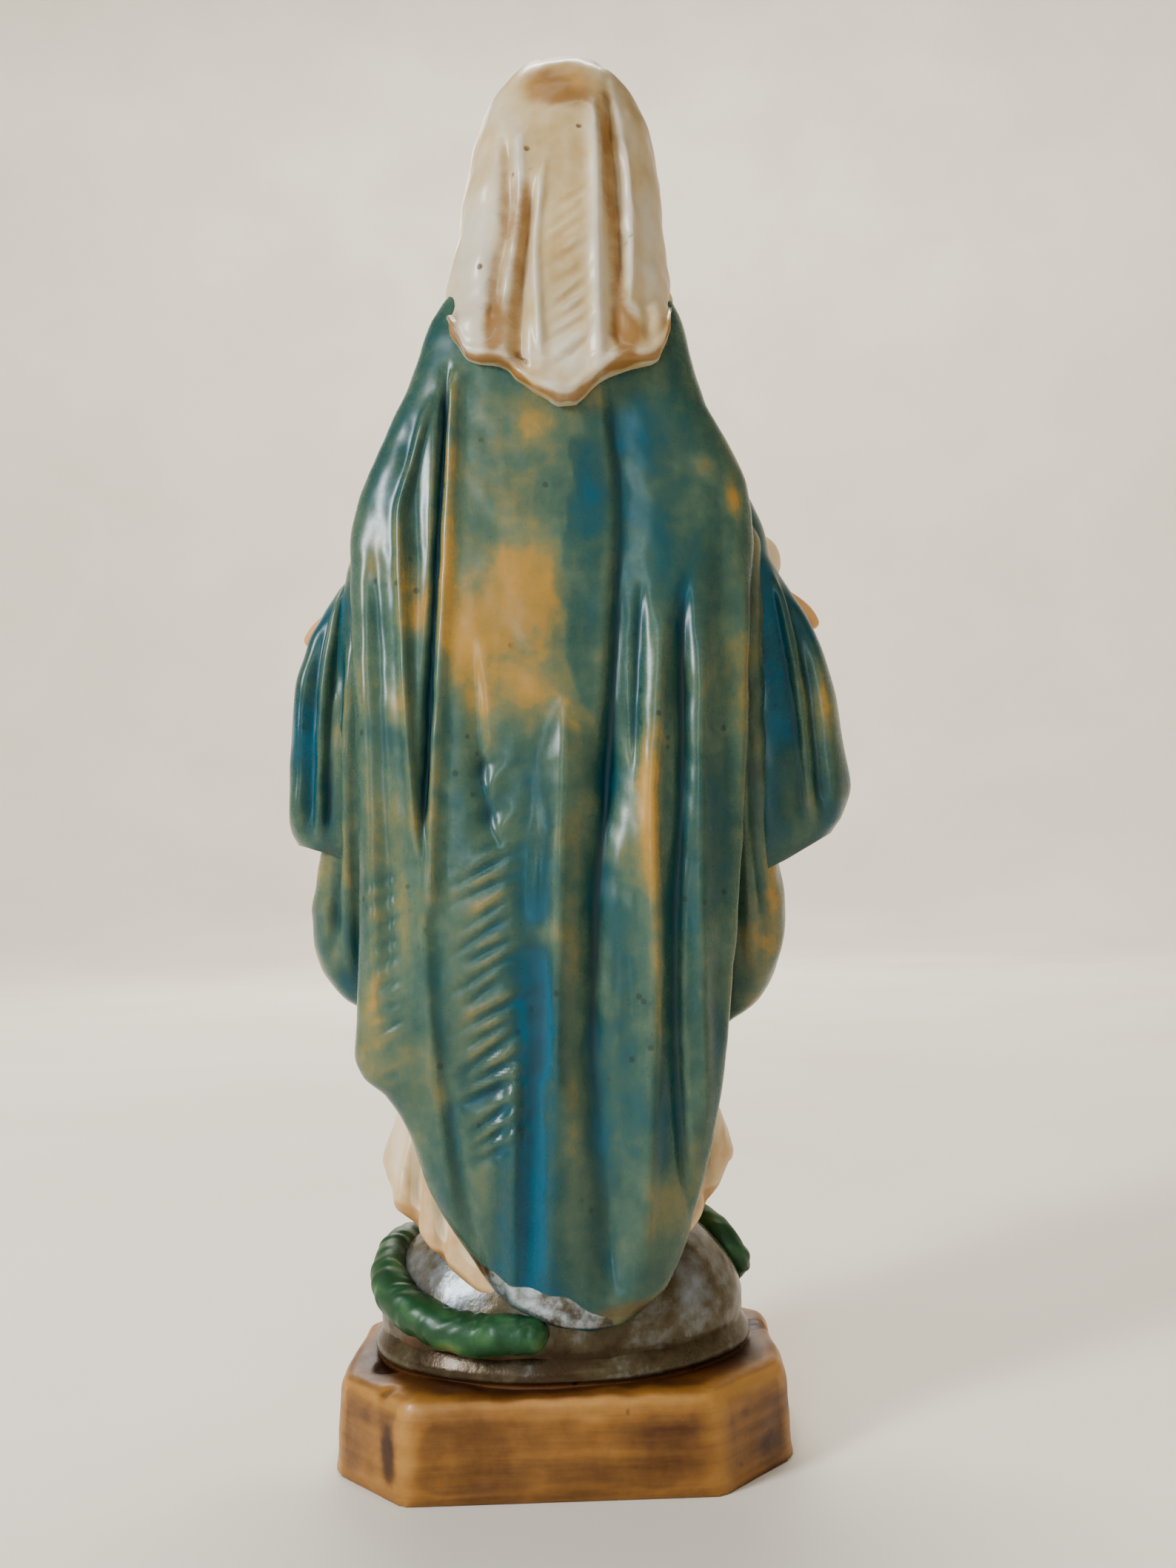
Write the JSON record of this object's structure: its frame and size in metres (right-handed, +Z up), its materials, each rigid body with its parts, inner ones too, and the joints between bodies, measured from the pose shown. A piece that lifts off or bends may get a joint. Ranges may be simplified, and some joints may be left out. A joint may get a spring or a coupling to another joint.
{
  "type": "madonna statue",
  "caption": "Small painted plastic statue of a veiled woman in a robe and long mantle, hands lowered and open, standing on a globe and serpent over a base with cut corners",
  "frame": {"origin": "centre of the base's flat underside", "axes": "+Z up along the figure, the figure faces -Y, +X is the figure's left"},
  "size_m": [0.0541, 0.0268, 0.1242],
  "materials": {
    "base_brown": "brown paint, brushed and worn, over tan plastic",
    "globe_silver": "silver paint with brown wear",
    "serpent_green": "green paint, glossy",
    "robe_cream": "cream paint, satin",
    "mantle_blue": "blue paint, glossy, worn to the tan plastic",
    "veil_pearl": "pearly white paint with brown wear",
    "flesh": "bare tan plastic, satin",
    "hair_brown": "dark brown paint, satin",
    "sash_blue": "blue paint, glossy"
  },
  "bodies": {
    "root": {"base_block": "base_brown", "plinth_disc": "globe_silver", "globe": "globe_silver", "serpent": "serpent_green", "robe_skirt": "robe_cream", "robe_bodice": "robe_cream", "sleeve_left": "robe_cream", "sleeve_right": "robe_cream", "sash": "sash_blue", "mantle_back": "mantle_blue", "mantle_drape_left": "mantle_blue", "mantle_drape_right": "mantle_blue", "mantle_fall_left": "mantle_blue", "mantle_fall_right": "mantle_blue", "veil": "veil_pearl", "head": "flesh", "hair": "hair_brown", "hand_left": "flesh", "hand_right": "flesh", "foot_left": "flesh", "foot_right": "flesh"}
  },
  "joints": []
}
